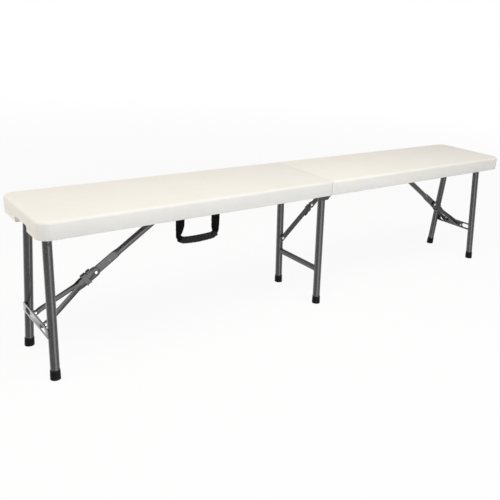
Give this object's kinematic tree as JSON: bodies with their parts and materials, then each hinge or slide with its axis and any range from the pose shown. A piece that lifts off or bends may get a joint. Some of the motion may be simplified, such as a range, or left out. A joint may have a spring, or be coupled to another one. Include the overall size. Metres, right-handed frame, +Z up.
{
  "type": "folding bench",
  "caption": "Long fold-in-half bench with hollow plastic seat halves, folding tube leg sets with locking braces, a middle leg set, and a webbing carry handle.",
  "frame": {"origin": "on the floor under the middle of the seat, at the fold line", "axes": "+X along the seat towards the end away from the handle, +Y across the seat to the side away from the handle, +Z up"},
  "size_m": [1.83, 0.288, 0.436],
  "materials": {
    "seat_plastic": "fine-grained moulded polyethylene, off-white",
    "grey_coat": "dark grey powder coat, slightly textured",
    "zinc": "bright zinc plate",
    "black_rubber": "moulded black rubber",
    "black_plastic": "satin black plastic",
    "black_webbing": "woven black webbing"
  },
  "bodies": {
    "right_half": {"seat_half_right": "seat_plastic", "right_rail_front": "grey_coat", "right_rail_rear": "grey_coat", "right_hinge_leaf_front": "zinc", "right_hinge_leaf_rear": "zinc", "hinge_pin_front": "zinc", "hinge_pin_rear": "zinc", "right_brace_bar": "grey_coat", "middle_pivot_bolt_front": "zinc", "middle_pivot_bolt_rear": "zinc", "stay_bracket": "grey_coat"},
    "left_half": {"seat_half_left": "seat_plastic", "left_rail_front": "grey_coat", "left_rail_rear": "grey_coat", "left_hinge_leaf_front": "zinc", "left_hinge_leaf_rear": "zinc", "left_brace_bar": "grey_coat", "handle_bracket_outer": "zinc", "handle_bracket_inner": "zinc"},
    "right_leg_set": {"right_leg_tube_front": "grey_coat", "right_leg_tube_rear": "grey_coat", "right_foot_front": "black_rubber", "right_foot_rear": "black_rubber", "right_leg_pivot_tube": "grey_coat", "right_stretcher_plate": "grey_coat", "right_fork_pin_front": "zinc", "right_fork_pin_rear": "zinc"},
    "right_arm": {"right_brace_arm": "grey_coat"},
    "right_fork": {"right_fork_bar_front": "grey_coat", "right_fork_bar_rear": "grey_coat", "right_elbow_rivet": "zinc"},
    "right_sleeve": {"right_lock_sleeve_front": "grey_coat", "right_lock_sleeve_rear": "grey_coat"},
    "left_leg_set": {"left_leg_tube_front": "grey_coat", "left_leg_tube_rear": "grey_coat", "left_foot_front": "black_rubber", "left_foot_rear": "black_rubber", "left_leg_pivot_tube": "grey_coat", "left_stretcher_plate": "grey_coat", "left_fork_pin_front": "zinc", "left_fork_pin_rear": "zinc"},
    "left_arm": {"left_brace_arm": "grey_coat"},
    "left_fork": {"left_fork_bar_front": "grey_coat", "left_fork_bar_rear": "grey_coat", "left_elbow_rivet": "zinc"},
    "left_sleeve": {"left_lock_sleeve_front": "grey_coat", "left_lock_sleeve_rear": "grey_coat"},
    "middle_leg_set": {"middle_leg_tube_front": "grey_coat", "middle_leg_tube_rear": "grey_coat", "middle_foot_front": "black_rubber", "middle_foot_rear": "black_rubber", "middle_stretcher": "grey_coat", "stay_lower_pin": "zinc"},
    "stay_upper": {"stay_upper_link": "grey_coat", "stay_elbow_rivet": "zinc"},
    "stay_lower": {"stay_lower_link": "grey_coat"},
    "stay_sleeve": {"stay_lock_sleeve": "grey_coat"},
    "handle": {"handle_webbing": "black_webbing", "handle_grip": "black_plastic"},
    "latch": {"latch_lever": "black_plastic"}
  },
  "joints": [
    {"name": "bench_fold", "type": "hinge", "parent": "right_half", "child": "left_half", "pos_m": [0, 0, 0.387], "axis": [0, -1, 0], "range_deg": [0, 180]},
    {"name": "right_leg_fold", "type": "hinge", "parent": "right_half", "child": "right_leg_set", "pos_m": [0.872, 0, 0.404], "axis": [0, 1, 0], "range_deg": [0, 91.04]},
    {"name": "right_arm_swing", "type": "hinge", "parent": "right_half", "child": "right_arm", "pos_m": [0.459, 0, 0.404], "axis": [0, -1, 0], "range_deg": [0, 33.78]},
    {"name": "right_fork_swing", "type": "hinge", "parent": "right_leg_set", "child": "right_fork", "pos_m": [0.87683, 0, 0.12504], "axis": [0, 1, 0], "range_deg": [0, 55.33]},
    {"name": "right_sleeve_slide", "type": "slide", "parent": "right_fork", "child": "right_sleeve", "axis": [0.8317, 0, -0.5553], "range_m": [0, 0.008]},
    {"name": "left_leg_fold", "type": "hinge", "parent": "left_half", "child": "left_leg_set", "pos_m": [-0.872, 0, 0.404], "axis": [0, -1, 0], "range_deg": [0, 91.04]},
    {"name": "left_arm_swing", "type": "hinge", "parent": "left_half", "child": "left_arm", "pos_m": [-0.459, 0, 0.404], "axis": [0, 1, 0], "range_deg": [0, 33.78]},
    {"name": "left_fork_swing", "type": "hinge", "parent": "left_leg_set", "child": "left_fork", "pos_m": [-0.87683, 0, 0.12504], "axis": [0, -1, 0], "range_deg": [0, 55.33]},
    {"name": "left_sleeve_slide", "type": "slide", "parent": "left_fork", "child": "left_sleeve", "axis": [-0.8317, 0, -0.5553], "range_m": [0, 0.008]},
    {"name": "middle_leg_fold", "type": "hinge", "parent": "right_half", "child": "middle_leg_set", "pos_m": [0.012, 0, 0.404], "axis": [0, -1, 0], "range_deg": [0, 87.27]},
    {"name": "stay_upper_swing", "type": "hinge", "parent": "right_half", "child": "stay_upper", "pos_m": [0.2585, 0, 0.4], "axis": [0, 1, 0], "range_deg": [0, 41.94]},
    {"name": "stay_lower_swing", "type": "hinge", "parent": "middle_leg_set", "child": "stay_lower", "pos_m": [0.00587, 0, 0.17343], "axis": [0, -1, 0], "range_deg": [0, 46.22]},
    {"name": "stay_sleeve_slide", "type": "slide", "parent": "stay_lower", "child": "stay_sleeve", "axis": [-0.7445, 0, -0.6677], "range_m": [0, 0.025]},
    {"name": "handle_swing", "type": "hinge", "parent": "left_half", "child": "handle", "pos_m": [-0.4785, -0.128, 0.3875], "axis": [-1, 0, 0], "range_deg": [0, 90.05]},
    {"name": "latch_turn", "type": "hinge", "parent": "left_half", "child": "latch", "pos_m": [-0.8981, -0.017, 0.398], "axis": [1, 0, 0], "range_deg": [0, 90]}
  ],
  "couplings": [
    {"joint": "right_leg_fold", "follows": "bench_fold", "ratio": 0.50552},
    {"joint": "right_arm_swing", "follows": "bench_fold", "ratio": 0.18738},
    {"joint": "right_fork_swing", "follows": "bench_fold", "ratio": 0.30711},
    {"joint": "left_leg_fold", "follows": "bench_fold", "ratio": 0.50552},
    {"joint": "left_arm_swing", "follows": "bench_fold", "ratio": 0.18738},
    {"joint": "left_fork_swing", "follows": "bench_fold", "ratio": 0.30711},
    {"joint": "middle_leg_fold", "follows": "bench_fold", "ratio": 0.48457},
    {"joint": "stay_upper_swing", "follows": "bench_fold", "ratio": 0.2327},
    {"joint": "stay_lower_swing", "follows": "bench_fold", "ratio": 0.25652},
    {"joint": "handle_swing", "follows": "bench_fold", "ratio": 0.5}
  ]
}
